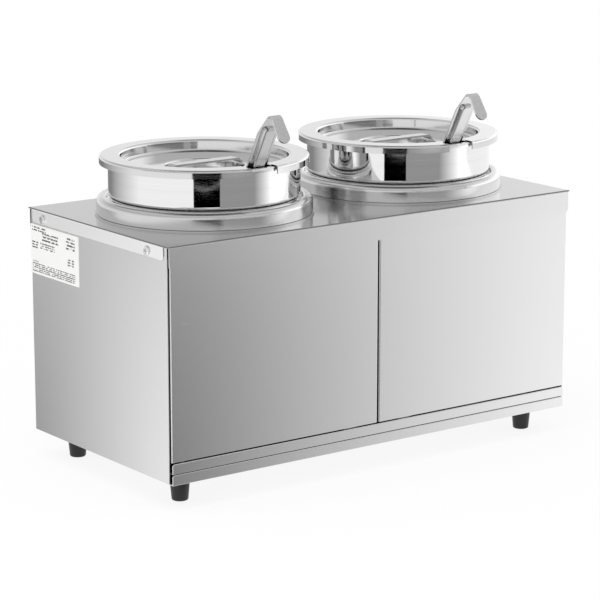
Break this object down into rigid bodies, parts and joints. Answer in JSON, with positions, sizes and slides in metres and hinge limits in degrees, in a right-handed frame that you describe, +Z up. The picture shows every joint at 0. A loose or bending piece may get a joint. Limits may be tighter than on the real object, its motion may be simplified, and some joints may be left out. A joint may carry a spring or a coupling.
{
  "type": "food warmer",
  "caption": "Countertop food warmer: brushed steel box on rubber feet, round wells with collars, lift-out insets, notched lids and hooked ladles, controls at the back.",
  "frame": {"origin": "on the counter under the middle of the object's box", "axes": "+X along the front to the right, -Y is the front with the ladle hooks, +Z up"},
  "size_m": [0.4362, 0.2442, 0.3185],
  "materials": {
    "satin_sheet": "satin brushed stainless sheet",
    "spun_collar": "spun stainless with fine circular brushing",
    "drawn_well": "drawn stainless, plain mill finish",
    "polished_steel": "mirror-polished stainless",
    "ladle_steel": "satin-polished stainless",
    "foot_rubber": "moulded black rubber",
    "screw_steel": "bright stainless fasteners",
    "label_film": "blank white label film",
    "heater_casting": "cast aluminium",
    "plated_clamp": "zinc-plated sheet steel",
    "mineral_wool": "mineral wool",
    "thermostat_case": "dark phenolic moulding",
    "copper_tube": "bare copper tube",
    "brass_stud": "turned brass",
    "knob_plastic": "black phenolic with a matt skin",
    "dial_plate": "satin silver plate with printed ticks",
    "switch_plastic": "black nylon",
    "rocker_plastic": "black gloss moulding",
    "lamp_lens": "amber lens",
    "gland_nylon": "black nylon",
    "terminal_plastic": "white nylon",
    "wire_insulation": "silicone-insulated lead"
  },
  "bodies": {
    "housing": {"top_deck": "satin_sheet", "side_panel_left": "satin_sheet", "side_panel_right": "satin_sheet", "front_panel_left": "satin_sheet", "front_panel_right": "satin_sheet", "centre_post": "satin_sheet", "back_panel": "satin_sheet", "base_pan": "satin_sheet", "bottom_cover": "satin_sheet", "foot_front_left": "foot_rubber", "foot_front_right": "foot_rubber", "foot_rear_left": "foot_rubber", "foot_rear_right": "foot_rubber", "foot_screws": "screw_steel", "foot_nuts": "screw_steel", "deck_screws": "screw_steel", "back_screws": "screw_steel", "rating_label": "label_film", "heater_nuts": "screw_steel", "cable_gland": "gland_nylon", "gland_locknut": "gland_nylon", "terminal_block": "terminal_plastic", "earth_stud": "brass_stud", "well_left": "drawn_well", "well_right": "drawn_well", "collar_left": "spun_collar", "collar_right": "spun_collar", "heater_left": "heater_casting", "heater_right": "heater_casting", "heater_clamp_left": "plated_clamp", "heater_clamp_right": "plated_clamp", "insulation_left": "mineral_wool", "insulation_right": "mineral_wool", "thermostat_left": "thermostat_case", "thermostat_right": "thermostat_case", "capillary_left": "copper_tube", "capillary_right": "copper_tube", "dial_left": "dial_plate", "dial_right": "dial_plate", "switch_body_left": "switch_plastic", "switch_body_right": "switch_plastic", "pilot_light_left": "lamp_lens", "pilot_light_right": "lamp_lens", "wiring_left": "wire_insulation", "wiring_right": "wire_insulation"},
    "inset_left": {"inset_left": "polished_steel"},
    "lid_left": {"lid_left": "polished_steel", "lid_strap_left": "polished_steel"},
    "ladle_left": {"ladle_left": "ladle_steel"},
    "knob_left": {"knob_left": "knob_plastic", "spindle_left": "brass_stud"},
    "rocker_left": {"rocker_left": "rocker_plastic"},
    "inset_right": {"inset_right": "polished_steel"},
    "lid_right": {"lid_right": "polished_steel", "lid_strap_right": "polished_steel"},
    "ladle_right": {"ladle_right": "ladle_steel"},
    "knob_right": {"knob_right": "knob_plastic", "spindle_right": "brass_stud"},
    "rocker_right": {"rocker_right": "rocker_plastic"}
  },
  "joints": [
    {"name": "inset_left_lift", "type": "slide", "parent": "housing", "child": "inset_left", "axis": [0, 0, 1], "range_m": [0, 0.22]},
    {"name": "lid_left_lift", "type": "slide", "parent": "inset_left", "child": "lid_left", "axis": [0, 0, 1], "range_m": [0, 0.12]},
    {"name": "ladle_left_draw", "type": "slide", "parent": "inset_left", "child": "ladle_left", "axis": [0, -0.4695, 0.8829], "range_m": [0, 0.12]},
    {"name": "knob_left_turn", "type": "hinge", "parent": "housing", "child": "knob_left", "pos_m": [-0.036, 0.11453, 0.128], "axis": [0, -1, 0], "range_deg": [0, 270]},
    {"name": "rocker_left_tip", "type": "hinge", "parent": "housing", "child": "rocker_left", "pos_m": [-0.036, 0.10253, 0.074], "axis": [1, 0, 0], "range_deg": [0, 18]},
    {"name": "inset_right_lift", "type": "slide", "parent": "housing", "child": "inset_right", "axis": [0, 0, 1], "range_m": [0, 0.22]},
    {"name": "lid_right_lift", "type": "slide", "parent": "inset_right", "child": "lid_right", "axis": [0, 0, 1], "range_m": [0, 0.12]},
    {"name": "ladle_right_draw", "type": "slide", "parent": "inset_right", "child": "ladle_right", "axis": [0, -0.4695, 0.8829], "range_m": [0, 0.12]},
    {"name": "knob_right_turn", "type": "hinge", "parent": "housing", "child": "knob_right", "pos_m": [0.036, 0.11453, 0.128], "axis": [0, -1, 0], "range_deg": [0, 270]},
    {"name": "rocker_right_tip", "type": "hinge", "parent": "housing", "child": "rocker_right", "pos_m": [0.036, 0.10253, 0.074], "axis": [1, 0, 0], "range_deg": [0, 18]}
  ]
}
